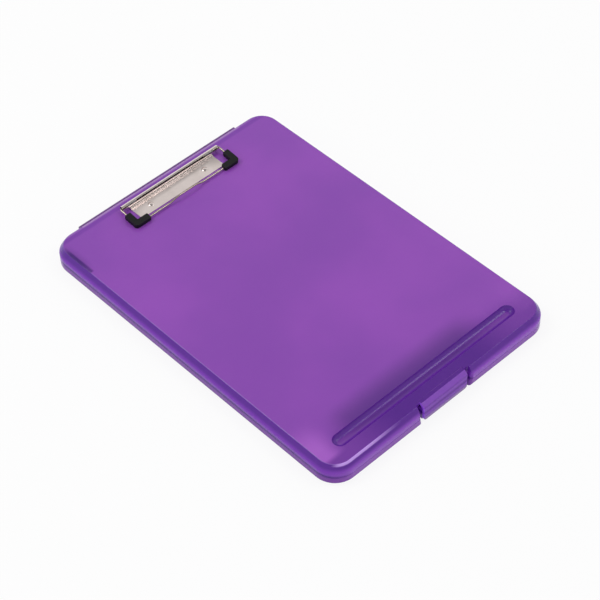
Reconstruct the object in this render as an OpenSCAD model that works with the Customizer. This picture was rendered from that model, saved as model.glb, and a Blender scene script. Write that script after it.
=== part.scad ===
// Letter-size storage clipboard: a shallow hinged box whose lid is the writing board.
// Millimetres. Origin at the middle of the underside, +Y towards the hinge, +Z up.

/* [Shell] */
// Outside width of the box
shell_w = 240.4; // [200:0.2:300]
// Outside length of the two shells, without the hinge barrel
shell_l = 338.5; // [260:0.5:420]
// Height of the board's face above the table
box_h = 18.6; // [17:0.2:34]
// Corner radius in plan
corner_r = 20; // [12:1:30]
// Width of the sloping shoulder round the board's face
shoulder_w = 4.1; // [2:0.1:5]
// Height of the sloping shoulder
shoulder_h = 6.3; // [4:0.1:7]
// Radius of the bend from the shoulder into the side wall
shoulder_r = 4; // [2:0.25:4]
// Radius of the crest between the board's face and the shoulder
crest_r = 1.2; // [0.4:0.1:1.6]
// Radius of the edge round the underside
foot_r = 1.75; // [1:0.25:4]
// Height of the tray's rim
rim_h = 7; // [5:0.25:8]
// Gap at the parting line
parting_gap = 0.3; // [0.2:0.05:0.6]
// Thickness of the tray's side walls
tray_wall = 2.6; // [2.2:0.1:3.5]
// Thickness of the tray's floor
floor_t = 2; // [1.2:0.1:3]
// Thickness of the lid's side walls
lid_wall = 1.6; // [1.2:0.1:1.9]
// Thickness of the writing board
board_t = 2; // [1.6:0.1:2.6]
// Height of the locating lip above the tray's rim
lip_h = 1.6; // [1:0.1:3]
// Side clearance between the locating lip and the lid
lip_gap = 0.2; // [0.1:0.05:0.3]

/* [Hinge] */
// Length of the hinge barrel
hinge_l = 174; // [100:1:190]
// Outside radius of the barrel
barrel_r = 3; // [2.5:0.1:3.2]
// How far the barrel stands out behind the shells
barrel_out = 3; // [2.4:0.1:3.2]
// How far the barrel's top lies below the board's face
barrel_drop = 4.2; // [3.8:0.1:6]
// Number of knuckles
knuckles = 5; // [3:2:9]
// End gap between neighbouring knuckles
knuckle_gap = 0.4; // [0.2:0.1:1]
// Radius of the hinge pin
pin_r = 1; // [0.8:0.1:1.4]
// Radial clearance of the hinge pin in its bores
pin_clear = 0.05; // [0.02:0.01:0.1]
// Radial clearance between the barrel and the shell across from it
barrel_clear = 0.4; // [0.3:0.05:0.6]
// Depth of the blind end that stops the pin at each side
pin_stop = 1.5; // [1:0.25:4]

/* [Latch] */
// Width of the latch tab
tab_w = 48; // [30:0.5:80]
// Width of the notch on each side of the tab, at the underside
notch_w = 2.2; // [1.8:0.1:8]
// Lean of each notch's outer wall, in degrees
notch_lean = 8.5; // [0:0.5:12]
// Depth of the notches from the front
notch_d = 5.6; // [4.6:0.1:6.6]
// Distance from the front to the line that the tab bends on
root_d = 7.6; // [7:0.1:12]
// Radius at the inner end of each notch
notch_r = 1.5; // [0.5:0.1:2]
// Radius of the shells' upright corners at the mouth of each notch
mouth_r = 3; // [1:0.1:3.4]
// How far the tab's top edge lies behind the front
tab_set = 4.4; // [3:0.1:5]
// How far the tab's grip face lies behind the front
tab_face_set = 0.8; // [0.6:0.1:2.5]
// Depth of the slanted band at the top of the tab
tab_slant_h = 3.2; // [2:0.1:4]
// Thickness of the tab
tab_t = 2; // [1.6:0.1:2.4]
// Height of the tab's lower end above the table
tab_foot = 0.8; // [0.5:0.1:4]
// Number of grip ridges on the tab
ridges = 3; // [1:1:4]
// Height of one grip ridge
ridge_h = 1.7; // [1:0.1:2]
// How far a grip ridge stands out
ridge_out = 0.6; // [0.3:0.1:1]
// Distance from the slanted band to the first ridge
ridge_set = 0.4; // [0:0.1:1]
// Corner radius at the tab's lower end
tab_corner_r = 3; // [1:0.5:5]
// Radius of the tab's upright front edges
tab_edge_r = 1.6; // [0.5:0.1:1.9]
// Radial clearance at the line that the tab bends on
flex_clear = 0.05; // [0.03:0.01:0.1]
// Gap between the tab and the tray's front wall
tab_gap = 0.9; // [0.6:0.1:1.5]
// Gap between the board and the tray's wall behind the latch
wall_gap = 0.5; // [0.3:0.1:1]
// Width of the catch on the tray
catch_w = 30; // [15:1:40]
// Height of the catch on the tray
catch_h = 1.6; // [1:0.1:2]
// Height of the catch's underside above the table
catch_z = 5.4; // [4:0.1:8]
// Running clearance between the tab's hook and the catch
catch_clear = 0.2; // [0.15:0.05:0.4]

/* [Pen trough] */
// Length of the trough
trough_l = 197; // [120:1:200]
// Width of the trough
trough_w = 12.5; // [9:0.5:16]
// Depth of the trough below the board's face
trough_depth = 4.2; // [3:0.1:5]
// Middle of the trough behind the front
trough_in = 22.6; // [20:0.2:40]
// Wall under the trough
trough_wall = 1.8; // [1.2:0.1:2.4]

/* [Clip] */
// Length of the rolled channel
channel_l = 107; // [70:0.5:140]
// Outside radius of the rolled channel
channel_r = 2.25; // [2.1:0.05:3]
// Thickness of the clip's sheet metal
sheet_t = 0.6; // [0.4:0.05:0.6]
// Middle of the channel in front of the shells' back edge
channel_in = 15; // [10:0.05:30]
// Width of the slit along the channel
slit_w = 1.3; // [0.4:0.1:1.8]
// Angle of the slit up from the back, in degrees
slit_angle = 140; // [100:1:150]
// Width of the riveted leaf
leaf_w = 92; // [60:1:95]
// Length of the riveted leaf in front of the channel's middle
leaf_l = 17.5; // [14:0.5:18]
// Corner radius of the leaf
leaf_r = 3; // [1:0.5:5]
// Length of the slope from the leaf up to the channel
riser_l = 3; // [2:0.25:5]
// Radius of the clip wire
wire_r = 0.8; // [0.7:0.05:1]
// Radial clearance of the wire in its springs, and of the springs in the channel
wire_clear = 0.05; // [0.03:0.01:0.1]
// Distance from the channel's middle to the front wire
bail_reach = 21.5; // [20:0.1:40]
// Angle by which the closed bail leans down towards the front
bail_lean = 6; // [4:0.5:8]
// Distance between the middles of the two side arms
bail_w = 109.4; // [109:0.2:120]
// Bend radius of the wire's corners, at the middle of the wire
bend_r = 1.3; // [1.1:0.1:1.5]
// Length of each wire end inside the channel
stub_l = 16; // [10:1:30]
// Height of the lifting hump in the front wire
hump_h = 2.4; // [1:0.1:4]
// Width of the hump at its foot
hump_w = 40; // [20:1:60]
// Width of the hump's flat top
hump_top = 16; // [6:1:18]
// Length of each clip spring
spring_l = 10; // [6:1:14]
// Length of wire that stands out of each spring inside the channel
spring_set = 1; // [0.5:0.1:1.5]

/* [Corner grips] */
// Width of the grip's legs
grip_w = 5.8; // [5:0.1:7]
// Height of the grips
grip_h = 3.9; // [3.6:0.1:4.4]
// Depth of the grips below the middle of the wire
grip_under = 1.5; // [1.3:0.1:1.9]
// Length of the leg on the side arm
grip_side_l = 15.5; // [10:0.5:17]
// Length of the leg on the front wire
grip_front_l = 16; // [12:0.5:25]
// Radius of the grip's outer corner
grip_corner_r = 3; // [1:0.25:4]
// Radius of the grip's other corners
grip_edge_r = 0.8; // [0.4:0.1:1.5]
// Gap between the grips and the board
grip_gap = 0.1; // [0.1:0.05:0.4]
// Radial clearance of the wire in the grips
grip_clear = 0.02; // [0.01:0.01:0.05]

/* [Rivets] */
// Distance between the two rivets
rivet_gap = 60; // [30:1:80]
// Rivets in front of the channel's middle
rivet_in = 10; // [7:0.5:11]
// Radius of the rivets' shanks
rivet_r = 1.5; // [1:0.1:2]
// Radial clearance of the shanks in the leaf, board and washers
rivet_clear = 0.05; // [0.02:0.01:0.1]
// Radius of the rivets' domed heads
head_r = 2.8; // [2.2:0.1:4]
// Height of the rivets' heads
head_h = 1; // [0.6:0.1:1.4]
// Radius of the rivets' clenched ends
tail_r = 2.4; // [2.2:0.1:4]
// Radius of the backing washers
washer_r = 4.5; // [3.5:0.1:6]
// Thickness of the backing washers
washer_t = 0.8; // [0.5:0.1:1.2]

/* [Hidden] */
$fn = 64;
// A hair, for pieces that have to lap, and the excess of a cut.
tiny = 0.01;
overshoot = 1;
// Degrees by which two bends of the wire lap.
lap = 1;
purple = [0.44, 0.22, 0.62, 0.75];

front_y = -(shell_l + barrel_out) / 2;
back_y = front_y + shell_l;
mid_y = (front_y + back_y) / 2;
under_z = box_h - board_t;
lid_z = rim_h + parting_gap;

axis_y = back_y + barrel_out - barrel_r;
axis_z = box_h - barrel_drop - barrel_r;
knuckle_l = hinge_l / knuckles;
// How far the tray's knuckles reach down into its back wall.
web_lap = 2;

latch_half = tab_w / 2 + notch_w;
rim_half = latch_half + rim_h * tan(notch_lean);
top_half = latch_half + box_h * tan(notch_lean);
root_y = front_y + root_d;
flex_r = board_t / 2;
flex_z = box_h - flex_r;
recess_y = root_y + parting_gap;
tab_y = front_y + tab_face_set;
boss_y = tab_y + tab_t + tab_gap;
boss_w = tab_w - 2 * tab_gap;
boss_h = box_h - tab_slant_h - tab_t - tab_gap;
wall_h = under_z - wall_gap;
cavity_y = recess_y + tray_wall;
hook_out = tab_gap / 2;

trough_y = front_y + trough_in;
trough_r = (trough_w * trough_w / 4 + trough_depth * trough_depth) / (2 * trough_depth);
trough_z = box_h - trough_depth + trough_r;

clip_y = back_y - channel_in;
clip_z = box_h + grip_gap + (bail_reach + grip_w / 2) * sin(bail_lean) + grip_under;
bore_r = channel_r - sheet_t;
// Where the slope meets the channel and the leaf, from the channel's middle.
riser_top = -channel_r / 3;
riser_foot = riser_top - riser_l;
spring_in_r = wire_r + wire_clear;
spring_out_r = bore_r - wire_clear;
arm_x = bail_w / 2;
wire_y = clip_y - bail_reach;
grip_x = arm_x + grip_w / 2;
grip_y = wire_y - grip_w / 2;
grip_z = clip_z - grip_under;
rivet_y = clip_y - rivet_in;

// A closed ring of one wall profile, swept round a rounded rectangle. The profile's X is the
// distance outwards from the corner's middle, and its Y is the height.
module swept_wall(w, l, r) {
    x = w / 2 - r;
    y = l / 2 - r;
    for (i = [0:3]) {
        long = i % 2 == 0 ? 2 * y : 2 * x;
        out = i % 2 == 0 ? x : y;
        rotate([0, 0, 90 * i]) {
            translate([out, long / 2, 0]) rotate([90, 0, 0]) linear_extrude(long) children();
            translate([out, long / 2, 0]) rotate_extrude(angle = 90) children();
        }
    }
}

// A rounded rectangle in plan, centred on the box.
module rounded_rect(w, l, r) {
    x = w / 2 - r;
    y = l / 2 - r;
    union() {
        square([w, 2 * y], center = true);
        square([2 * x, l], center = true);
        for (sx = [-1, 1], sy = [-1, 1]) translate([sx * x, sy * y]) circle(r);
    }
}

// A prism of the shells' outline, drawn in by inset, from z0 to z1.
module outline_prism(inset, z0, z1) {
    translate([0, mid_y, z0]) linear_extrude(z1 - z0)
        rounded_rect(shell_w - 2 * inset, shell_l - 2 * inset, corner_r - inset);
}

// The middle of a shell, where no edge is rounded.
module core_block(z0, z1) {
    w = shell_w - 2 * corner_r;
    l = shell_l - 2 * corner_r;
    translate([-w / 2, mid_y - l / 2, z0]) cube([w, l, z1 - z0]);
}

// A rod of radius r along X, from x0 to x1.
module rod_x(r, x0, x1) {
    translate([x0, 0, 0]) rotate([0, 90, 0]) cylinder(r = r, h = x1 - x0);
}

// A box given by its two corners.
module block(low, high) {
    translate(low) cube(high - low);
}

// The knuckles that belong to one shell: which is 0 for the tray and 1 for the lid.
module each_knuckle(which) {
    for (i = [which:2:knuckles - 1])
        let (x0 = -hinge_l / 2 + i * knuckle_l + knuckle_gap / 2)
            translate([x0, 0, 0]) children();
}

// The bore for the hinge pin, blind at both ends.
module pin_bore() {
    translate([0, axis_y, axis_z])
        rod_x(pin_r + pin_clear, -hinge_l / 2 + pin_stop, hinge_l / 2 - pin_stop);
}

// The opening for the latch, cut right through a shell: a neck round the tab's root, and on each
// side a notch whose outer wall leans out as it rises.
module latch_recess(depth, neck_d, top) {
    half = tab_w / 2 + parting_gap;
    block([-half, front_y - overshoot, -overshoot], [half, front_y + neck_d, top]);
    for (s = [0, 1]) mirror([s, 0, 0])
        translate([latch_half, front_y, 0]) rotate([0, notch_lean, 0])
            translate([0, 0, -2 * overshoot]) linear_extrude(top + 4 * overshoot) notch_plan(depth);
}

// One notch in plan, inwards from its outer wall. Its inner corner is rounded, and so is the
// shell's upright corner at its mouth.
module notch_plan(depth) {
    w = notch_w + (box_h + 2 * overshoot) * tan(notch_lean);
    difference() {
        union() {
            translate([-w, -overshoot]) square([w, depth - notch_r + overshoot]);
            translate([-w, -overshoot]) square([w - notch_r, depth + overshoot]);
            translate([-notch_r, depth - notch_r]) circle(notch_r);
            translate([-w, -overshoot]) square([w + mouth_r, mouth_r + overshoot]);
        }
        translate([mouth_r, mouth_r]) circle(mouth_r);
    }
}

// Holes for the two rivets.
module each_rivet() {
    for (s = [-1, 1]) translate([s * rivet_gap / 2, rivet_y, 0]) children();
}

module rivet_holes() {
    each_rivet() cylinder(r = rivet_r + rivet_clear, h = 2 * box_h);
}

// Outside of the tray: straight walls over a rounded lower edge.
module tray_body() {
    core_block(0, rim_h);
    translate([0, mid_y, 0]) swept_wall(shell_w, shell_l, corner_r) {
        union() {
            square([corner_r - foot_r, rim_h]);
            translate([0, foot_r]) square([corner_r, rim_h - foot_r]);
            intersection() {
                translate([corner_r - foot_r, foot_r]) circle(foot_r);
                square([corner_r, foot_r]);
            }
        }
    }
}

// The tray's wall round the latch recess: two returns beside the notches and a set-back wall.
module recess_wall() {
    half = rim_half + tray_wall;
    intersection() {
        tray_body();
        block([-half, front_y, 0], [half, cavity_y, rim_h]);
    }
    block([-half, recess_y, 0], [half, cavity_y, wall_h]);
}

// The stepped-out front behind the tab.
module tray_boss() {
    block([-boss_w / 2, boss_y, 0], [boss_w / 2, cavity_y, boss_h]);
}

// The hollow inside the stepped-out front, open to the storage space.
module boss_hollow() {
    half = boss_w / 2 - tray_wall;
    block([-half, boss_y + tray_wall, floor_t], [half, cavity_y + overshoot, boss_h - floor_t]);
}

// The catch bead on the stepped-out front.
module tray_catch() {
    block([-catch_w / 2, boss_y - hook_out, catch_z],
          [catch_w / 2, boss_y + hook_out, catch_z + catch_h]);
}

// The lip that locates the lid, left out near the hinge and the latch.
module locating_lip() {
    difference() {
        outline_prism(lid_wall + lip_gap, rim_h - lip_h, rim_h + lip_h);
        outline_prism(tray_wall, 0, box_h);
        block([-shell_w, axis_y - 2 * corner_r, 0], [shell_w, back_y, box_h]);
        block([-2 * latch_half, front_y, 0], [2 * latch_half, cavity_y, box_h]);
    }
}

module tray() {
    color(purple) difference() {
        union() {
            difference() {
                union() {
                    difference() {
                        tray_body();
                        outline_prism(tray_wall, floor_t, box_h);
                    }
                    recess_wall();
                }
                latch_recess(root_d + parting_gap, root_d + parting_gap, box_h);
            }
            locating_lip();
            tray_boss();
            tray_catch();
            each_knuckle(0) tray_knuckle();
        }
        boss_hollow();
        pin_bore();
    }
}

// One tray knuckle with the web that carries it up from the tray's back wall.
module tray_knuckle() {
    l = knuckle_l - knuckle_gap;
    translate([0, axis_y, axis_z]) rod_x(barrel_r, 0, l);
    block([0, axis_y - barrel_r, rim_h - web_lap], [l, back_y, axis_z]);
}

// Outside of the lid: straight walls under a sloping shoulder.
module lid_body() {
    core_block(lid_z, box_h);
    translate([0, mid_y, 0]) swept_wall(shell_w, shell_l, corner_r) shoulder_profile();
}

// Wall profile of the lid. The bend and the crest are circles that touch their straight sides.
module shoulder_profile() {
    slope = atan2(shoulder_h, shoulder_w);
    along = [-cos(slope), sin(slope)];
    bend = [corner_r, box_h - shoulder_h];
    crest = [corner_r - shoulder_w, box_h];
    bend_t = shoulder_r * tan((90 - slope) / 2);
    crest_t = crest_r * tan(slope / 2);
    union() {
        polygon([[0, lid_z], [corner_r, lid_z], bend - [0, bend_t], bend + bend_t * along,
                 crest - crest_t * along, crest - [crest_t, 0], [0, box_h]]);
        translate(bend - [shoulder_r, bend_t]) circle(shoulder_r);
        translate(crest - [crest_t, crest_r]) circle(crest_r);
    }
}

// Inside of the lid, which follows the shoulder at the wall's thickness.
module lid_hollow() {
    slope = atan2(shoulder_h, shoulder_w);
    r_in = corner_r - lid_wall;
    bend_z = box_h - shoulder_h - lid_wall * tan((90 - slope) / 2);
    crest_x = r_in - (under_z - bend_z) / tan(slope);
    z0 = lid_z - overshoot;
    core_block(z0, under_z);
    translate([0, mid_y, 0]) swept_wall(shell_w - 2 * lid_wall, shell_l - 2 * lid_wall, r_in)
        polygon([[0, z0], [r_in, z0], [r_in, bend_z], [crest_x, under_z], [0, under_z]]);
}

// A round-ended trough shape of radius r about the trough's middle line.
module trough_form(r) {
    half = (trough_l - trough_w) / 2;
    translate([0, trough_y, trough_z]) {
        rod_x(r, -half, half);
        for (s = [-1, 1]) translate([s * half, 0, 0]) sphere(r);
    }
}

// The skin under the trough, as deep as its wall.
module trough_skin() {
    half = trough_l / 2 + trough_wall;
    intersection() {
        trough_form(trough_r + trough_wall);
        block([-half, trough_y - trough_w, 0], [half, trough_y + trough_w, box_h - board_t / 2]);
    }
}

// The lid's own wall on the far side of each notch.
module notch_wall() {
    intersection() {
        lid_body();
        for (s = [0, 1]) mirror([s, 0, 0])
            block([latch_half, front_y, lid_z],
                  [top_half + lid_wall, root_y - parting_gap, under_z + tiny]);
    }
}

// One lid knuckle with the arm that hangs it from the lid's shoulder.
module lid_knuckle() {
    l = knuckle_l - knuckle_gap;
    arm_top = axis_z + barrel_r + 2 * barrel_clear;
    slope_in = max(0, (arm_top - box_h + shoulder_h) * shoulder_w / shoulder_h);
    translate([0, axis_y, axis_z]) rod_x(barrel_r, 0, l);
    block([0, back_y - shoulder_w, axis_z], [l, back_y - slope_in, arm_top]);
}

module lid() {
    window = axis_z + barrel_r + barrel_clear;
    color(purple) difference() {
        union() {
            difference() {
                union() {
                    difference() {
                        lid_body();
                        lid_hollow();
                    }
                    notch_wall();
                    trough_skin();
                }
                block([-hinge_l / 2 - knuckle_gap, axis_y - 2 * barrel_r, 0],
                      [hinge_l / 2 + knuckle_gap, back_y + overshoot, window]);
            }
            each_knuckle(1) lid_knuckle();
        }
        latch_recess(notch_d, root_d, box_h + overshoot);
        translate([0, root_y, flex_z])
            rod_x(flex_r + flex_clear, -tab_w / 2 - parting_gap, tab_w / 2 + parting_gap);
        trough_form(trough_r);
        rivet_holes();
        pin_bore();
    }
}

module hinge_pin() {
    end = hinge_l / 2 - pin_stop - knuckle_gap / 2;
    color("silver") translate([0, axis_y, axis_z]) rod_x(pin_r, -end, end);
}

// The tab's section: a short board-thick root, a slanted band and a ribbed face.
module tab_section() {
    y_top = front_y + tab_set;
    z_band = box_h - tab_slant_h;
    union() {
        translate([root_y, flex_z]) circle(flex_r);
        translate([y_top, under_z]) square([root_y - y_top, board_t]);
        polygon([[y_top + tab_t, under_z], [y_top + tab_t, box_h], [y_top, box_h], [tab_y, z_band],
                 [tab_y, tab_foot], [tab_y + tab_t, tab_foot], [tab_y + tab_t, z_band - tab_t]]);
        for (i = [0:ridges - 1])
            translate([tab_y - ridge_out, z_band - ridge_set - ridge_h * (1 + 2 * i)])
                polygon([[ridge_out, 0], [0, 0], [ridge_out, ridge_h]]);
    }
}

module latch_tab() {
    hook_z = catch_z - catch_clear - catch_h;
    depth = root_d + board_t;
    color(purple) {
        intersection() {
            translate([-tab_w / 2, 0, 0]) rotate([90, 0, 90]) linear_extrude(tab_w) tab_section();
            translate([0, front_y + depth, 0]) rotate([90, 0, 0]) linear_extrude(depth) tab_outline();
            linear_extrude(box_h + overshoot) tab_plan();
        }
        block([-catch_w / 2, tab_y + tab_t - tiny, hook_z],
              [catch_w / 2, boss_y - hook_out - catch_clear, hook_z + catch_h]);
    }
}

// Plan of the tab, with its two upright front edges rounded.
module tab_plan() {
    half = tab_w / 2;
    y0 = tab_y - ridge_out;
    edge_x = half - tab_edge_r;
    edge_y = y0 + tab_edge_r;
    union() {
        translate([-half, edge_y]) square([tab_w, root_y + board_t - edge_y]);
        translate([-edge_x, y0]) square([2 * edge_x, board_t]);
        for (s = [-1, 1]) translate([s * edge_x, edge_y]) circle(tab_edge_r);
    }
}

// Front view of the tab, with its two lower corners rounded.
module tab_outline() {
    half = tab_w / 2;
    corner_x = half - tab_corner_r;
    corner_z = tab_foot + tab_corner_r;
    translate([-half, corner_z]) square([tab_w, box_h]);
    translate([-corner_x, tab_foot]) square([2 * corner_x, box_h]);
    for (s = [-1, 1]) translate([s * corner_x, corner_z]) circle(tab_corner_r);
}

// Section of the rolled channel, with its slit facing forwards and up.
module channel_section() {
    difference() {
        circle(channel_r);
        circle(bore_r);
        rotate(slit_angle) translate([0, -slit_w / 2]) square([2 * channel_r, slit_w]);
    }
}

// Section of the slope that carries the channel above the board.
module riser_section() {
    low = box_h - clip_z;
    polygon([[riser_foot, low], [riser_top, -channel_r], [0, -channel_r], [0, -bore_r],
             [riser_top, -bore_r], [riser_foot, low + sheet_t]]);
}

// The riveted leaf in plan, forwards from the foot of the slope.
module leaf_plan() {
    union() {
        translate([-leaf_w / 2, leaf_r - leaf_l])
            square([leaf_w, leaf_l - leaf_r + riser_foot + tiny]);
        translate([leaf_r - leaf_w / 2, -leaf_l]) square([leaf_w - 2 * leaf_r, leaf_r + overshoot]);
        for (s = [-1, 1]) translate([s * (leaf_w / 2 - leaf_r), leaf_r - leaf_l]) circle(leaf_r);
    }
}

// The clip plate: a riveted leaf whose back edge is rolled into an open channel.
module clip_plate() {
    color("silver") {
        translate([-channel_l / 2, clip_y, clip_z]) rotate([90, 0, 90])
            linear_extrude(channel_l) channel_section();
        translate([-leaf_w / 2, clip_y, clip_z]) rotate([90, 0, 90])
            linear_extrude(leaf_w) riser_section();
        difference() {
            translate([0, clip_y, box_h]) linear_extrude(sheet_t) leaf_plan();
            rivet_holes();
        }
    }
}

// One side of the clip wire of radius r, on the right-hand side: from the hump's flat top out to
// the corner, back along the arm and into the channel.
module wire_side(r) {
    end_x = arm_x - bend_r;
    hump_slope(r);
    translate([0, wire_y, clip_z]) rod_x(r, hump_w / 2, end_x);
    translate([end_x, wire_y + bend_r, clip_z]) rotate([0, 0, -90]) wire_bend(r, bend_r, 90);
    translate([arm_x, wire_y + bend_r, clip_z]) rotate([-90, 0, 0])
        cylinder(r = r, h = bail_reach - 2 * bend_r);
    translate([end_x, clip_y - bend_r, clip_z]) wire_bend(r, bend_r, 90);
    translate([0, clip_y, clip_z]) rod_x(r, end_x - stub_l, end_x);
}

// A bent stretch of wire, starting along the bend's X axis.
module wire_bend(r, bend, angle) {
    rotate_extrude(angle = angle) translate([bend, 0]) circle(r);
}

// The two bends that lead from the hump's flat top down to its foot. Each is a hair thinner than
// the stretch that it runs into, and laps a degree into it.
module hump_slope(r) {
    run = (hump_w - hump_top) / 2;
    angle = 2 * atan2(hump_h, run);
    bend = run / (2 * sin(angle));
    top_z = clip_z + hump_h - bend;
    translate([hump_top / 2, wire_y, top_z]) rotate([90, 0, 0])
        rotate([0, 0, 90 - angle]) wire_bend(r - tiny, bend, angle + lap);
    translate([hump_w / 2, wire_y, clip_z + bend]) rotate([90, 0, 0])
        rotate([0, 0, 270 - angle - lap]) wire_bend(r - 2 * tiny, bend, angle + 2 * lap);
}

// Turns the closed bail down about the channel's middle.
module lean_down() {
    translate([0, clip_y, clip_z]) rotate([bail_lean, 0, 0]) translate([0, -clip_y, -clip_z])
        children();
}

module clip_wire() {
    color("silver") lean_down() {
        translate([0, wire_y, clip_z + hump_h]) rod_x(wire_r, -hump_top / 2, hump_top / 2);
        wire_side(wire_r);
        mirror([1, 0, 0]) wire_side(wire_r);
    }
}

module clip_springs() {
    x0 = arm_x - bend_r - stub_l + spring_set;
    color("gray") for (s = [0, 1]) mirror([s, 0, 0]) translate([0, clip_y, clip_z]) difference() {
        rod_x(spring_out_r, x0, x0 + spring_l);
        rod_x(spring_in_r, x0 - overshoot, x0 + spring_l + overshoot);
    }
}

// One leg of a corner grip in plan: a bar with one square end at its start and rounded corners
// at its far end.
module grip_leg(length) {
    inner = grip_w - 2 * grip_edge_r;
    square([length - grip_edge_r, grip_w]);
    translate([0, grip_edge_r]) square([length, inner]);
    for (y = [grip_edge_r, grip_w - grip_edge_r])
        translate([length - grip_edge_r, y]) circle(grip_edge_r);
}

// One L-shaped corner grip in plan, for the right-hand side.
module grip_plan() {
    translate([grip_x, grip_y]) union() {
        translate([-grip_corner_r, grip_corner_r]) circle(grip_corner_r);
        translate([-grip_corner_r, 0]) mirror([1, 0]) grip_leg(grip_front_l - grip_corner_r);
        translate([0, grip_corner_r]) rotate(90) grip_leg(grip_side_l - grip_corner_r);
        translate([-grip_w, grip_corner_r]) square([grip_w - grip_corner_r, grip_w - grip_corner_r]);
    }
}

module corner_grip() {
    color([0.07, 0.07, 0.08]) lean_down() difference() {
        translate([0, 0, grip_z]) linear_extrude(grip_h) grip_plan();
        wire_side(wire_r + grip_clear);
    }
}

module grip_right() {
    corner_grip();
}

module grip_left() {
    mirror([1, 0, 0]) corner_grip();
}

module clip_rivets() {
    washer_z = under_z - washer_t;
    leaf_top = box_h + sheet_t;
    dome_r = (head_r * head_r + head_h * head_h) / (2 * head_h);
    color("silver") each_rivet() {
        translate([0, 0, washer_z - head_h]) cylinder(r = rivet_r, h = leaf_top - washer_z + head_h + tiny);
        translate([0, 0, washer_z - head_h]) cylinder(r = tail_r, h = head_h);
        intersection() {
            translate([0, 0, leaf_top + head_h - dome_r]) sphere(dome_r);
            translate([0, 0, leaf_top]) cylinder(r = head_r, h = head_h);
        }
    }
}

module rivet_washers() {
    color("gray") each_rivet() translate([0, 0, under_z - washer_t]) difference() {
        cylinder(r = washer_r, h = washer_t);
        translate([0, 0, -overshoot]) cylinder(r = rivet_r + rivet_clear, h = washer_t + 2 * overshoot);
    }
}

tray();
lid();
hinge_pin();
latch_tab();
clip_plate();
clip_wire();
clip_springs();
grip_left();
grip_right();
clip_rivets();
rivet_washers();
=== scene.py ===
import math

import bmesh
import bpy
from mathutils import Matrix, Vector


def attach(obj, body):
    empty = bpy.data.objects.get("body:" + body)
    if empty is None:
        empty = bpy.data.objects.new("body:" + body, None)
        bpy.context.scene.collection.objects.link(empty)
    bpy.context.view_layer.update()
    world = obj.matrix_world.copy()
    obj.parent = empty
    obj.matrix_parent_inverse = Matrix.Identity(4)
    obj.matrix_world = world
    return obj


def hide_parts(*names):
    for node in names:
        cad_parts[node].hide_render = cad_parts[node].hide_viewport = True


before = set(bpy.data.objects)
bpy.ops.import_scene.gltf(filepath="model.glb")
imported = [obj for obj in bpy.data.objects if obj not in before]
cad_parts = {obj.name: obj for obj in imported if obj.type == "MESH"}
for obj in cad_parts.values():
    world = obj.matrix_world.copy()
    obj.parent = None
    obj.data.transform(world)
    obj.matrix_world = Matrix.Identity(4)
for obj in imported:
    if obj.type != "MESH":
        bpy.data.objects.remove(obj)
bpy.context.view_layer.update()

# Storage clipboard box. Metres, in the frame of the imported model: X to the right seen from the
# latch, Y from the latch to the hinge, Z up out of the writing board.

for startup in ("Cube", "Light", "Camera"):  # an empty scene starts without these
    if startup in bpy.data.objects:
        bpy.data.objects.remove(bpy.data.objects[startup])


def link(thing):
    bpy.context.scene.collection.objects.link(thing)
    return thing


view = dict(
    place=(-0.6981, -0.7848, 1.1304),
    turn=(42.561, 1.444, -43.456),  # degrees
    lens=113.45,
    sensor=36.0,
    nearest=0.01,
)


def addCamera():
    lens = bpy.data.cameras.new("viewCamera")
    lens.lens = view["lens"]
    lens.sensor_width = view["sensor"]
    lens.clip_start = view["nearest"]
    stand = link(bpy.data.objects.new("viewCamera", lens))
    stand.location = view["place"]
    stand.rotation_euler = [math.radians(angle) for angle in view["turn"]]
    bpy.context.scene.camera = stand


addCamera()
print("camera placed")


class Signal:
    # A node socket that takes part in plain arithmetic.
    def __init__(self, tree, socket=None):
        self.tree = tree
        self.socket = socket

    def add(self, kind, settings=None, inputs=None, out=0):
        # one node: its type, its settings, and a value, a link or a list of links for each input
        made = self.tree.nodes.new(kind)
        for name, value in (settings or {}).items():
            if name == "points":  # float curve: (x, y) pairs
                curve = made.mapping.curves[0]
                while len(curve.points) < len(value):
                    curve.points.new(1.0, 1.0)
                for point, place in zip(curve.points, value):
                    point.location = place
                    point.handle_type = "VECTOR"
                made.mapping.update()
            else:
                setattr(made, name, value)
        for name, value in (inputs or {}).items():
            for part in value if isinstance(value, list) else [value]:
                if isinstance(part, Signal):
                    self.tree.links.new(part.socket, made.inputs[name])
                else:
                    made.inputs[name].default_value = part
        return Signal(self.tree, made.outputs[out] if len(made.outputs) else None)

    def output(self, name):
        # another output of the same node
        return Signal(self.tree, self.socket.node.outputs[name])

    def maths(self, operation, first, second=0.0):
        return self.add("ShaderNodeMath", {"operation": operation}, {0: first, 1: second})

    def __add__(self, other):
        return self.maths("ADD", self, other)

    def __radd__(self, other):
        return self.maths("ADD", other, self)

    def __sub__(self, other):
        return self.maths("SUBTRACT", self, other)

    def __rsub__(self, other):
        return self.maths("SUBTRACT", other, self)

    def __mul__(self, other):
        return self.maths("MULTIPLY", self, other)

    def __rmul__(self, other):
        return self.maths("MULTIPLY", other, self)

    def __abs__(self):
        return self.maths("ABSOLUTE", self)

    def rise(self, low, high):
        # 0 below low, 1 above high, smooth between; falls instead when low is above high
        return self.add(
            "ShaderNodeMapRange",
            {"interpolation_type": "SMOOTHSTEP"},
            {"Value": self, "From Min": low, "From Max": high},
        )

    def mix(self, first, second):
        # this value is the share of the second colour
        return self.add(
            "ShaderNodeMix",
            {"data_type": "RGBA"},
            {0: self, 6: first, 7: second},
            out=2,
        )

    def split(self):
        parts = self.add("ShaderNodeSeparateXYZ", inputs={0: self})
        return [parts.output(axis) for axis in "XYZ"]


def meet(*masks):
    # the share where every mask holds
    share = masks[0]
    for mask in masks[1:]:
        share = share * mask
    return share


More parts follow.
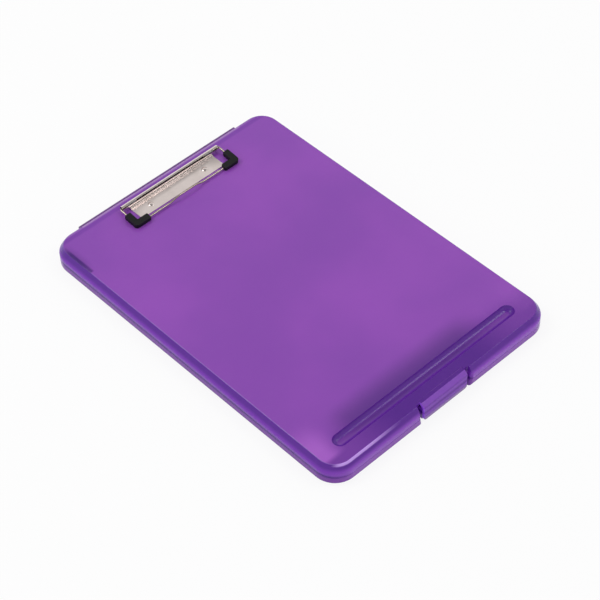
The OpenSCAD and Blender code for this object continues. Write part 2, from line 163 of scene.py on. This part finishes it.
def newMaterial(name):
    made = bpy.data.materials.new(name)
    made.use_nodes = True
    made.node_tree.nodes.clear()
    return made, Signal(made.node_tree)


def finishMaterial(made, surface):
    surface.add("ShaderNodeOutputMaterial", inputs={"Surface": surface})
    return made


def colour(red, green, blue):
    # an sRGB colour from 0 to 255, as linear light
    def linear(channel):
        c = channel / 255
        return c / 12.92 if c <= 0.04045 else ((c + 0.055) / 1.055) ** 2.4

    return (linear(red), linear(green), linear(blue), 1.0)


class Spot:
    # Where a point of the closed box lies, and which way its surface faces.
    def __init__(self, kit):
        self.place = kit.add("ShaderNodeTexCoord", out="Object")
        self.across, self.along, self.height = self.place.split()
        side, _, self.up = kit.add("ShaderNodeTexCoord", out="Normal").split()
        self.offMiddle = abs(self.across)
        self.sideways = abs(side)


# In the tones below a pair of places is where a tone begins and where it is full.

plastic = dict(
    roughness=0.17,
    cloudGloss=0.06,                # the clouding and the grain vary the roughness a little
    grainGloss=0.03,
    glossLevel=0.26,
    refraction=1.5,
    depthShare=0.15,                # light that enters the plastic and comes back
    depthRadius=(0.9, 0.35, 1.0),
    depthScale=0.002,
    cloudScale=9.0,                 # clouding along the flow of the moulding, per metre
    cloudDetail=3.0,
    cloudContrast=0.45,
    grainScale=900.0,               # fine texture of the surface, per metre
    grainDetail=2.0,
    bumpDepth=0.000012,
    bumpStrength=0.6,
    # painted shade: the shoulder, sloping down from the board's edge, is darker
    shoulder=colour(92, 36, 148),
    facingUp=(0.90, 0.995),         # the walls' tint gives way to the board's
)

boardTones = dict(
    face=colour(134, 72, 172),
    pink=colour(156, 82, 188),
    cloudRange=(0.35, 0.8),
    cloudShare=0.6,
    deep=colour(80, 30, 134),       # painted shade: darker in front, where the moulding is doubled over the shaded inside of the box
    deepAlong=(-0.1300, -0.1560),
    deepShare=0.95,
    deepEnds=(0.040, 0.100),        # less so towards its two ends
    deepEndsLess=0.5,
    shade=colour(58, 34, 106),      # painted shadow on the board behind the trough
    shadeHeight=(0.0125, 0.0145),
    shadeAlong=((-0.1180, -0.1370), (-0.1520, -0.1440)),
    shadeAcross=((-0.0980, -0.0700), (0.0780, 0.0420)),
    shadeShare=0.5,
    cornerLight=colour(172, 100, 202),     # painted light: the front corners are lighter
    cornerLightAcross=(0.092, 0.110),
    cornerLightAlong=((-0.1120, -0.1440), (-0.1600, -0.1540)),
    cornerLightShare=0.45,
    cornerLightLean=3.0,                   # more so on the left, per metre
    backAlong=(0.1560, 0.1585),     # painted shade: deeper just in front of the back edge
    backShare=0.35,
)


def boardTint(at, cloud):
    tones = boardTones
    clouding = cloud.rise(*tones["cloudRange"]) * tones["cloudShare"]
    tint = clouding.mix(tones["face"], tones["pink"])
    ends = at.offMiddle.rise(*tones["deepEnds"])
    deep = tones["deepShare"] - ends * tones["deepEndsLess"]
    tint = (at.along.rise(*tones["deepAlong"]) * deep).mix(tint, tones["deep"])
    # painted shadow behind the trough
    shade = meet(
        at.height.rise(*tones["shadeHeight"]),
        *[at.along.rise(*reach) for reach in tones["shadeAlong"]],
        *[at.across.rise(*reach) for reach in tones["shadeAcross"]],
    )
    tint = (shade * tones["shadeShare"]).mix(tint, tones["shade"])
    cornerLight = meet(
        at.offMiddle.rise(*tones["cornerLightAcross"]),
        *[at.along.rise(*reach) for reach in tones["cornerLightAlong"]],
        tones["cornerLightShare"] - at.across * tones["cornerLightLean"],
    )
    tint = cornerLight.mix(tint, tones["cornerLight"])
    # painted shade in front of the back edge
    back = at.along.rise(*tones["backAlong"]) * tones["backShare"]
    return back.mix(tint, plastic["shoulder"])


wallTones = dict(
    # painted light: the front walls, on which the light falls, are lighter than the side walls, and
    # so is the rim below them
    front=colour(139, 72, 190),
    side=colour(122, 50, 178),
    rimFront=colour(134, 70, 176),      # below the parting line
    rimSide=colour(118, 56, 158),
    rimHeight=(0.0071, 0.0055),
    shoulderHeight=(0.0122, 0.0156),    # the wall turns into the shoulder and its painted shade
    seam=colour(54, 4, 110),            # shade in the parting line
    seamHeight=0.0077,
    seamHalf=0.0023,
    seamShare=0.95,
)


def wallTint(at):
    tones = wallTones
    # painted light: lighter where the wall faces the front
    rim = at.sideways.mix(tones["rimFront"], tones["rimSide"])
    tint = at.sideways.mix(tones["front"], tones["side"])
    tint = at.height.rise(*tones["rimHeight"]).mix(tint, rim)
    tint = at.height.rise(*tones["shoulderHeight"]).mix(tint, plastic["shoulder"])
    offSeam = abs(at.height - tones["seamHeight"])
    seam = offSeam.rise(tones["seamHalf"], 0.0) * at.sideways * tones["seamShare"]
    return seam.mix(tint, tones["seam"])


tabTones = dict(
    # painted shade under the ridges of the tab, and painted light along its foot
    light=colour(130, 74, 182),
    shade=colour(98, 46, 148),
    edge=colour(146, 112, 174),
    foot=(0.0040, 0.0022),
    grooves=(                       # height, half width, depth of the shade
        (0.0151, 0.0010, 0.6),
        (0.0096, 0.0024, 1.0),
        (0.0050, 0.0008, 0.6),
    ),
)


def tabTint(at):
    tones = tabTones
    # painted light at the foot, painted shade in the grooves
    tint = at.height.rise(*tones["foot"]).mix(tones["light"], tones["edge"])
    for groove, half, depth in tones["grooves"]:
        shade = abs(at.height - groove).rise(half, 0.0) * depth
        tint = shade.mix(tint, tones["shade"])
    return tint


edgeTones = dict(
    crest=colour(212, 168, 252),    # painted highlight along the rounded edge of the board
    crestShare=0.8,
    crestUp=(0.999, 0.95),          # where the surface turns down from the board
    frontAcross=(-0.044, -0.086),   # painted highlight, bright in front, towards the left corner
    frontAlong=(-0.1600, -0.1655),
    frontHeight=(0.0164, 0.0174),
    # a weaker painted highlight on the left crest
    leftAcross=(-0.1100, -0.1140),
    leftUp=(0.62, 0.82),
    leftShare=0.26,
    # painted highlight along the back edge of the board
    backCrestHighlight=colour(162, 122, 186),
    backAlong=(0.1608, 0.1626),
    backHeight=(0.0160, 0.0172),
    backShare=0.5,                  # full along the hinge, this much beside it
    # painted shade on the hinge barrel
    barrel=colour(104, 62, 128),
    barrelHalf=(0.0885, 0.0870),
    barrelAlong=(0.1642, 0.1646),
)


def crestTint(at, tint):
    tones = edgeTones
    front = meet(
        at.across.rise(*tones["frontAcross"]),
        at.along.rise(*tones["frontAlong"]),
        at.height.rise(*tones["frontHeight"]),
    )
    left = meet(
        at.across.rise(*tones["leftAcross"]),
        at.up.rise(*tones["leftUp"]),
        tones["leftShare"],
    )
    crest = at.up.rise(*tones["crestUp"]) * (front + left) * tones["crestShare"]
    tint = crest.mix(tint, tones["crest"])
    hinge = at.offMiddle.rise(*tones["barrelHalf"])
    back = meet(
        at.along.rise(*tones["backAlong"]),
        at.height.rise(*tones["backHeight"]),
        tones["backShare"] + hinge * (1.0 - tones["backShare"]),
    )
    return back.mix(tint, tones["backCrestHighlight"])


def barrelTint(at, tint):
    tones = edgeTones
    hinge = at.offMiddle.rise(*tones["barrelHalf"])
    return (hinge * at.along.rise(*tones["barrelAlong"])).mix(tint, tones["barrel"])


wedgeShadeTones = dict(
    tone=colour(58, 20, 108),       # painted shade: a dark wedge on the board's edge at the back left
    along=(0.1165, 0.1180),         # it ends sharply in front
    across=(-0.1120, -0.1142),
    share=0.7,
    softAlong=(0.1180, 0.1330),     # and a soft painted shade beside it
    softAcross=(-0.1070, -0.1130),
    softShare=0.22,
    backAlong=(0.1600, 0.1430),
    up=(0.5, 0.9),
    height=(0.0166, 0.0176),
)


def wedgeShadeTint(at, tint):
    tones = wedgeShadeTones
    wedgeShade = at.along.rise(*tones["along"]) * at.across.rise(*tones["across"])
    soft = at.along.rise(*tones["softAlong"]) * at.across.rise(*tones["softAcross"])
    share = meet(
        wedgeShade * tones["share"] + soft * tones["softShare"],
        at.along.rise(*tones["backAlong"]),
        at.up.rise(*tones["up"]),
        at.height.rise(*tones["height"]),
    )
    return share.mix(tint, tones["tone"])


notchTones = dict(
    tone=(0.075, 0.022, 0.200, 1.0),    # painted light: the notches glow, standing in for light through the plastic walls
    dark=(0.0, 0.0, 0.0, 1.0),
    offMiddle=((0.0230, 0.0236), (0.0305, 0.0290)),
    along=(-0.1630, -0.1650),
    sideways=(0.5, 0.9),
    share=0.6,
    lean=16.0,                          # stronger in the left notch, per metre
)


def notchShine(at):
    tones = notchTones
    share = meet(
        *[at.offMiddle.rise(*reach) for reach in tones["offMiddle"]],
        at.along.rise(*tones["along"]),
        at.sideways.rise(*tones["sideways"]),
        tones["share"] - at.across * tones["lean"],
    )
    return share.mix(tones["dark"], tones["tone"])


def shellPlastic(name, sideTint):
    # Tinted translucent plastic, clouded along its flow, with painted shade and light: darker on
    # the shoulders, in front, behind the trough and before the back edge, lighter at the front
    # corners and on the crests, glowing in the notches.
    made, kit = newMaterial(name)
    at = Spot(kit)
    cloud = kit.add(
        "ShaderNodeTexNoise",
        inputs={
            "Vector": at.place,
            "Scale": plastic["cloudScale"],
            "Detail": plastic["cloudDetail"],
            "Roughness": plastic["cloudContrast"],
        },
    )
    grain = kit.add(
        "ShaderNodeTexNoise",
        inputs={
            "Vector": at.place,
            "Scale": plastic["grainScale"],
            "Detail": plastic["grainDetail"],
        },
    )
    tint = abs(at.up).rise(*plastic["facingUp"]).mix(sideTint(at), boardTint(at, cloud))
    tint = barrelTint(at, wedgeShadeTint(at, crestTint(at, tint)))
    normal = kit.add(
        "ShaderNodeBump",
        inputs={
            "Height": grain,
            "Distance": plastic["bumpDepth"],
            "Strength": plastic["bumpStrength"],
        },
    )
    gloss = cloud * plastic["cloudGloss"] + grain * plastic["grainGloss"]
    surface = kit.add(
        "ShaderNodeBsdfPrincipled",
        inputs={
            "Base Color": tint,
            "Roughness": plastic["roughness"] + gloss,
            "Normal": normal,
            # painted light in the notches
            "Emission Color": notchShine(at),
            "Emission Strength": 1.0,
            "IOR": plastic["refraction"],
            "Specular IOR Level": plastic["glossLevel"],
            "Subsurface Weight": plastic["depthShare"],
            "Subsurface Radius": plastic["depthRadius"],
            "Subsurface Scale": plastic["depthScale"],
        },
    )
    return finishMaterial(made, surface)


def drawnLines(kit, place, stretch, detail):
    # fine lines left by drawing and polishing, along X
    stretched = kit.add("ShaderNodeMapping", inputs={"Vector": place, "Scale": stretch})
    return kit.add(
        "ShaderNodeTexNoise",
        inputs={"Vector": stretched, "Scale": 1.0, "Detail": detail},
    )


nickel = dict(
    bright=(0.80, 0.71, 0.68, 1.0),
    dull=(0.34, 0.28, 0.23, 1.0),
    shade=(0.035, 0.028, 0.024, 1.0),   # painted shade in the rolled channel
    wireDarker=0.8,
    roughness=0.20,
    lineGloss=0.04,
    lineStretch=(30.0, 1600.0, 1600.0),
    lineDetail=3.0,
    spotScale=70.0,                     # spots of wear, per metre
    spotDetail=3.0,
    spotRange=(0.4, 0.75),
    spotShare=0.2,
    bumpDepth=0.000002,
    bumpStrength=0.12,
    channelY=0.15275,
    channelZ=0.02275,
    channelBore=(0.00215, 0.00185),
    cornerUp=(-0.0009, -0.0015),        # painted shade between the channel and its leaf
    cornerReach=(0.0032, 0.0026),
    cornerShare=0.8,
)


def nickelPlate(name, darker=0.0, channel=False):
    made, kit = newMaterial(name)
    place = kit.add("ShaderNodeTexCoord", out="Object")
    lines = drawnLines(kit, place, nickel["lineStretch"], nickel["lineDetail"])
    spots = kit.add(
        "ShaderNodeTexNoise",
        inputs={"Vector": place, "Scale": nickel["spotScale"], "Detail": nickel["spotDetail"]},
    )
    wear = spots.rise(*nickel["spotRange"]) * nickel["spotShare"] + darker
    tint = wear.mix(nickel["bright"], nickel["dull"])
    if channel:
        # painted shade inside the channel and in the corner under it
        _, along, height = place.split()
        out = along - nickel["channelY"]
        up = height - nickel["channelZ"]
        radius = kit.maths("SQRT", out * out + up * up)
        tint = radius.rise(*nickel["channelBore"]).mix(tint, nickel["shade"])
        corner = meet(
            up.rise(*nickel["cornerUp"]),
            radius.rise(*nickel["cornerReach"]),
            nickel["cornerShare"],
        )
        tint = corner.mix(tint, nickel["shade"])
    normal = kit.add(
        "ShaderNodeBump",
        inputs={
            "Height": lines,
            "Distance": nickel["bumpDepth"],
            "Strength": nickel["bumpStrength"],
        },
    )
    surface = kit.add(
        "ShaderNodeBsdfPrincipled",
        inputs={
            "Base Color": tint,
            "Metallic": 1.0,
            "Roughness": nickel["roughness"] + lines * nickel["lineGloss"],
            "Normal": normal,
        },
    )
    return finishMaterial(made, surface)


steel = dict(
    bright=(0.50, 0.50, 0.51, 1.0),
    dull=(0.34, 0.34, 0.35, 1.0),
    lineStretch=(60.0, 1800.0, 1800.0),
    lineDetail=4.0,
    lineRange=(0.3, 0.8),
    roughness=0.26,
    lineGloss=0.2,
)


def plainSteel(name):
    made, kit = newMaterial(name)
    place = kit.add("ShaderNodeTexCoord", out="Object")
    lines = drawnLines(kit, place, steel["lineStretch"], steel["lineDetail"])
    surface = kit.add(
        "ShaderNodeBsdfPrincipled",
        inputs={
            "Base Color": lines.rise(*steel["lineRange"]).mix(steel["bright"], steel["dull"]),
            "Metallic": 1.0,
            "Roughness": steel["roughness"] + lines * steel["lineGloss"],
        },
    )
    return finishMaterial(made, surface)


rubber = dict(
    dark=colour(3, 3, 4),
    worn=colour(9, 9, 10),
    wornScale=120.0,        # per metre
    wornDetail=2.0,
    wornRange=(0.3, 0.8),
    skinScale=1500.0,       # per metre
    skinDetail=3.0,
    roughness=0.40,
    skinGloss=0.2,
    glossLevel=0.3,
    bumpDepth=0.00003,
    bumpStrength=0.5,
)


def gripRubber(name):
    made, kit = newMaterial(name)
    place = kit.add("ShaderNodeTexCoord", out="Object")
    skin = kit.add(
        "ShaderNodeTexNoise",
        inputs={"Vector": place, "Scale": rubber["skinScale"], "Detail": rubber["skinDetail"]},
    )
    worn = kit.add(
        "ShaderNodeTexNoise",
        inputs={"Vector": place, "Scale": rubber["wornScale"], "Detail": rubber["wornDetail"]},
    )
    normal = kit.add(
        "ShaderNodeBump",
        inputs={
            "Height": skin,
            "Distance": rubber["bumpDepth"],
            "Strength": rubber["bumpStrength"],
        },
    )
    surface = kit.add(
        "ShaderNodeBsdfPrincipled",
        inputs={
            "Base Color": worn.rise(*rubber["wornRange"]).mix(rubber["dark"], rubber["worn"]),
            "Roughness": rubber["roughness"] + skin * rubber["skinGloss"],
            "Normal": normal,
            "Specular IOR Level": rubber["glossLevel"],
        },
    )
    return finishMaterial(made, surface)


shellFinish = shellPlastic("shellPlastic", wallTint)
tabFinish = shellPlastic("tabPlastic", tabTint)
nickelFinish = nickelPlate("nickelPlate", channel=True)
wireFinish = nickelPlate("wireNickel", darker=nickel["wireDarker"])
steelFinish = plainSteel("plainSteel")
rubberFinish = gripRubber("gripRubber")
print("materials made")

rounding = dict(
    mergeGap=2e-6,
    flatAngle=0.6,          # degrees; flatter than this is one face
    sharpAngle=38.0,        # degrees; sharper than this is an edge that gets rounded
    shadingWeight=60,
    rootLine=-0.16315,      # line on which the latch tab bends
    rootReach=0.0012,
    rootHalf=0.0244,
)


def nearRoot(point):
    # the hairline between the board and the latch tab stays as it is
    offLine = abs(point.y - rounding["rootLine"])
    return offLine < rounding["rootReach"] and abs(point.x) < rounding["rootHalf"]


def softCopy(name, node, body, slot, finish, edge, segments=3, keepRoot=False):
    # The node's own shape with its sharp edges rounded, as a moulding or a stamping has them.
    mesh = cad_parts[node].data.copy()
    mesh.name = name
    piece = link(bpy.data.objects.new(name, mesh))
    flat = math.radians(rounding["flatAngle"])
    sharp = math.radians(rounding["sharpAngle"])
    work = bmesh.new()
    work.from_mesh(mesh)
    bmesh.ops.remove_doubles(work, verts=work.verts, dist=rounding["mergeGap"])
    bmesh.ops.dissolve_limit(work, angle_limit=flat, verts=work.verts, edges=work.edges)
    weight = work.edges.layers.float.new("bevel_weight_edge")
    for side in work.edges:
        turn = side.calc_face_angle(0.0)
        kept = keepRoot and all(nearRoot(corner.co) for corner in side.verts)
        side[weight] = 1.0 if turn > sharp and not kept else 0.0
        side.smooth = turn < sharp or not kept
    work.to_mesh(mesh)
    work.free()
    if mesh.has_custom_normals:
        with bpy.context.temp_override(object=piece, active_object=piece, selected_objects=[piece]):
            bpy.ops.mesh.customdata_custom_splitnormals_clear()
    for polygon in mesh.polygons:
        polygon.use_smooth = True
        polygon.material_index = 0
    mesh.materials.clear()
    mesh.materials.append(finish)
    bevel = piece.modifiers.new("rounding", "BEVEL")
    bevel.width = edge
    bevel.segments = segments
    bevel.limit_method = "WEIGHT"
    bevel.use_clamp_overlap = True
    bevel.miter_outer = "MITER_ARC"
    shading = piece.modifiers.new("shading", "WEIGHTED_NORMAL")
    shading.keep_sharp = True
    shading.weight = rounding["shadingWeight"]
    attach(piece, body)
    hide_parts(node)


roundedPieces = dict(
    lidShell=dict(
        node="lid", body="cover", slot="shell_plastic",
        finish=shellFinish, edge=0.00045, keepRoot=True,
    ),
    trayShell=dict(
        node="tray", body="box", slot="shell_plastic",
        finish=shellFinish, edge=0.0004,
    ),
    latchTongue=dict(
        node="latch_tab", body="latch", slot="shell_plastic",
        finish=tabFinish, edge=0.00045, keepRoot=True,
    ),
    clipChannel=dict(
        node="clip_plate", body="cover", slot="nickel_plate",
        finish=nickelFinish, edge=0.00015,
    ),
    leftGrip=dict(
        node="grip_left", body="bail", slot="grip_rubber",
        finish=rubberFinish, edge=0.0007, segments=4,
    ),
    rightGrip=dict(
        node="grip_right", body="bail", slot="grip_rubber",
        finish=rubberFinish, edge=0.0007, segments=4,
    ),
)

for name, values in roundedPieces.items():
    softCopy(name, **values)


def dress(node, finish):
    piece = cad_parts[node]
    for place in piece.material_slots:
        place.material = finish


dress("clip_wire", wireFinish)
dress("hinge_pin", steelFinish)
dress("rivet_washers", steelFinish)
print("shells, tab, clip and grips made")


def newTree(name, sizes):
    # an empty Geometry Nodes tree with one named input for each size
    tree = bpy.data.node_groups.new(name, "GeometryNodeTree")
    for size in sizes:
        tree.interface.new_socket(size, in_out="INPUT", socket_type="NodeSocketFloat")
    tree.interface.new_socket("Geometry", in_out="OUTPUT", socket_type="NodeSocketGeometry")
    kit = Signal(tree)
    entry = kit.add("NodeGroupInput")
    return kit, {size: entry.output(size) for size in sizes}


def growPiece(name, kit, sizes, shape, finish, body, node):
    # ends the tree, runs it on an empty mesh and keeps the plain result
    real = kit.add("GeometryNodeRealizeInstances", inputs={"Geometry": shape})
    painted = kit.add("GeometryNodeSetMaterial", inputs={"Geometry": real, "Material": finish})
    kit.add("NodeGroupOutput", inputs={0: painted})
    seed = link(bpy.data.objects.new(name + "Seed", bpy.data.meshes.new(name + "Seed")))
    grower = seed.modifiers.new("grow", "NODES")
    grower.node_group = kit.tree
    for item in kit.tree.interface.items_tree:
        if item.in_out == "INPUT":
            grower[item.identifier] = sizes[item.name]
    ready = seed.evaluated_get(bpy.context.evaluated_depsgraph_get())
    mesh = bpy.data.meshes.new_from_object(ready)
    seed.modifiers.remove(grower)
    bpy.data.objects.remove(seed)
    mesh.name = name
    for polygon in mesh.polygons:
        polygon.use_smooth = True
    piece = link(bpy.data.objects.new(name, mesh))
    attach(piece, body)
    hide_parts(node)


rivet = dict(
    count=2,
    gap=0.060,
    y=0.14275,
    bottom=0.0148,
    top=0.0202,
    headRadius=0.0028,
    rings=120,
    sides=48,
    profile=(               # share of the length, share of the head's radius
        (0.0, 0.55), (0.02, 0.72), (0.08, 0.84), (0.15, 0.84), (0.185, 0.8), (0.19, 0.536),
        (0.815, 0.536), (0.82, 1.0), (0.87, 0.93), (0.93, 0.72), (0.975, 0.42), (1.0, 0.05),
    ),
)


def makeRivets():
    sizes = {
        "Gap": rivet["gap"],
        "Row": rivet["y"],
        "Bottom": rivet["bottom"],
        "Top": rivet["top"],
        "Head Radius": rivet["headRadius"],
    }
    kit, size = newTree("rivetTree", sizes)
    low = kit.add("ShaderNodeCombineXYZ", inputs={"Z": size["Bottom"]})
    high = kit.add("ShaderNodeCombineXYZ", inputs={"Z": size["Top"]})
    stem = kit.add("GeometryNodeCurvePrimitiveLine", inputs={"Start": low, "End": high})
    stem = kit.add("GeometryNodeResampleCurve", inputs={"Curve": stem, "Count": rivet["rings"]})
    along = kit.add("GeometryNodeSplineParameter")
    profile = kit.add("ShaderNodeFloatCurve", {"points": rivet["profile"]}, {"Value": along})
    ring = kit.add(
        "GeometryNodeCurvePrimitiveCircle",
        inputs={"Resolution": rivet["sides"], "Radius": 1.0},
    )
    body = kit.add(
        "GeometryNodeCurveToMesh",
        inputs={
            "Curve": stem,
            "Profile Curve": ring,
            "Scale": profile * size["Head Radius"],
            "Fill Caps": True,
        },
    )
    start = kit.add("ShaderNodeCombineXYZ", inputs={"X": size["Gap"] * -0.5, "Y": size["Row"]})
    step = kit.add("ShaderNodeCombineXYZ", inputs={"X": size["Gap"]})
    row = kit.add(
        "GeometryNodeMeshLine",
        inputs={"Count": rivet["count"], "Start Location": start, "Offset": step},
    )
    pair = kit.add("GeometryNodeInstanceOnPoints", inputs={"Points": row, "Instance": body})
    growPiece(
        "leafRivets", kit, sizes, pair, nickelFinish,
        body="cover", node="clip_rivets",
    )


spring = dict(
    turns=11.0,
    wire=0.00030,
    ring=0.00125,
    length=0.0093,
    inner=0.0388,           # from the middle of the channel to the inner end
    y=0.15275,
    z=0.02275,
    steps=28,               # in each turn
    sides=10,
)


def makeSprings():
    sizes = {
        "Turns": spring["turns"],
        "Wire": spring["wire"],
        "Ring": spring["ring"],
        "Length": spring["length"],
        "Inner": spring["inner"],
        "Row": spring["y"],
        "Height": spring["z"],
    }
    kit, size = newTree("springTree", sizes)
    coil = kit.add(
        "GeometryNodeCurveSpiral",
        inputs={
            "Resolution": spring["steps"],
            "Rotations": size["Turns"],
            "Start Radius": size["Ring"],
            "End Radius": size["Ring"],
            "Height": size["Length"],
        },
    )
    section = kit.add(
        "GeometryNodeCurvePrimitiveCircle",
        inputs={"Resolution": spring["sides"], "Radius": size["Wire"]},
    )
    tube = kit.add(
        "GeometryNodeCurveToMesh",
        inputs={"Curve": coil, "Profile Curve": section, "Scale": 1.0, "Fill Caps": True},
    )
    pair = []
    for side in (-1.0, 1.0):
        spot = kit.add(
            "ShaderNodeCombineXYZ",
            inputs={"X": size["Inner"] * side, "Y": size["Row"], "Z": size["Height"]},
        )
        lying = (0.0, side * math.pi / 2, 0.0)
        pair.append(
            kit.add(
                "GeometryNodeTransform",
                inputs={"Geometry": tube, "Translation": spot, "Rotation": lying},
            )
        )
    both = kit.add("GeometryNodeJoinGeometry", inputs={0: pair})
    growPiece(
        "wireSprings", kit, sizes, both, steelFinish,
        body="cover", node="clip_springs",
    )


makeRivets()
makeSprings()
print("rivets and springs made")

room = dict(
    floorSize=6.0,
    floorHeight=-0.0001,    # a hair under the underside, so that the two don't share a plane
    floorColour=(0.88, 0.88, 0.89, 1.0),
    whiteShare=0.86,        # share of plain white in the floor that the camera sees
    white=(1.0, 1.0, 1.0, 1.0),
    skyLight=0.74,
    zenithGloss=0.30,       # brightness of the ceiling in reflections
    zenithFade=(0.56, 0.93),
    lamps=(                 # place, size, power
        ((-0.95, 0.95, 1.75), 0.9, 11.0),
        ((0.95, -0.80, 1.45), 0.5, 4.0),
    ),
)


def background(kit):
    # 1 for the camera, for reflections and through clear parts, 0 for light on the object
    rays = kit.add("ShaderNodeLightPath")
    seen = rays.output("Is Camera Ray")
    for name in ("Is Glossy Ray", "Is Transmission Ray"):
        seen = kit.maths("MAXIMUM", seen, rays.output(name))
    return seen


def floorPaint():
    made, kit = newMaterial("floorPaint")
    share = background(kit) * room["whiteShare"]
    paint = kit.add("ShaderNodeBsdfDiffuse", inputs={"Color": room["floorColour"]})
    white = kit.add("ShaderNodeEmission", inputs={"Color": room["white"], "Strength": 1.0})
    both = kit.add("ShaderNodeMixShader", inputs={0: share, 1: paint, 2: white})
    return finishMaterial(made, both)


def addFloor():
    mesh = bpy.data.meshes.new("paleFloor")
    half = room["floorSize"] / 2
    low = room["floorHeight"]
    corners = [(-half, -half, low), (half, -half, low), (half, half, low), (-half, half, low)]
    mesh.from_pydata(corners, [], [(0, 1, 2, 3)])
    mesh.materials.append(floorPaint())
    floor = link(bpy.data.objects.new("paleFloor", mesh))


def addLamp(number, place, size, power):
    name = f"softLamp{number}"
    light = bpy.data.lights.new(name, "AREA")
    light.energy = power
    light.size = size
    lamp = link(bpy.data.objects.new(name, light))
    lamp.location = place
    lamp.rotation_euler = (-Vector(place)).to_track_quat("-Z", "Y").to_euler()


def addSky():
    world = bpy.data.worlds.new("paleSky")
    world.use_nodes = True
    world.node_tree.nodes.clear()
    kit = Signal(world.node_tree)
    _, _, height = kit.add("ShaderNodeTexCoord", out="Generated").split()
    ceiling = 1.0 - height.rise(*room["zenithFade"]) * (1.0 - room["zenithGloss"])
    level = room["skyLight"] + background(kit) * (ceiling - room["skyLight"])
    sky = kit.add("ShaderNodeBackground", inputs={"Color": room["white"], "Strength": level})
    kit.add("ShaderNodeOutputWorld", inputs={"Surface": sky})
    bpy.context.scene.world = world
    bpy.context.scene.view_settings.view_transform = "Standard"


addFloor()
for number, lampValues in enumerate(room["lamps"]):
    addLamp(number, *lampValues)
addSky()
print("room lit")

bpy.context.view_layer.update()
